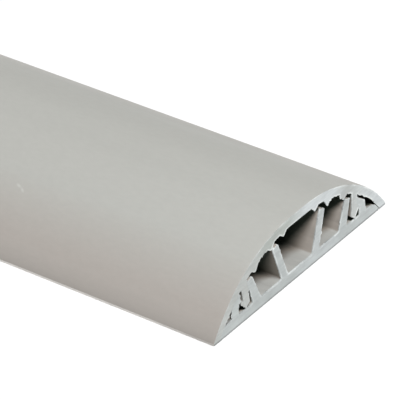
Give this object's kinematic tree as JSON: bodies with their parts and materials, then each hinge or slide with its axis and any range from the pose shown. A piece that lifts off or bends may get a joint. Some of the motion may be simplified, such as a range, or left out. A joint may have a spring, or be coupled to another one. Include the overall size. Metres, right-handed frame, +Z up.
{
  "type": "floor cord cover",
  "caption": "Floor cord cover: a ribbed base strip and a low domed clip-fit cover that carry cables in separate channels across a floor and form a gentle ramp to step or roll over",
  "frame": {"origin": "on the floor, at the middle of the strip's length and of the cover's width", "axes": "X along the strip, Y across it, Z up from the floor. The two long edges look the same, and so do the two cut ends, apart from the base, which sits 0.2 mm toward -Y inside the cover"},
  "size_m": [1, 0.075, 0.0197],
  "materials": {
    "base_strip": "plain extruded",
    "snap_cover": "satin extruded"
  },
  "bodies": {
    "root": {"base_strip": "base_strip", "snap_cover": "snap_cover"}
  },
  "joints": []
}
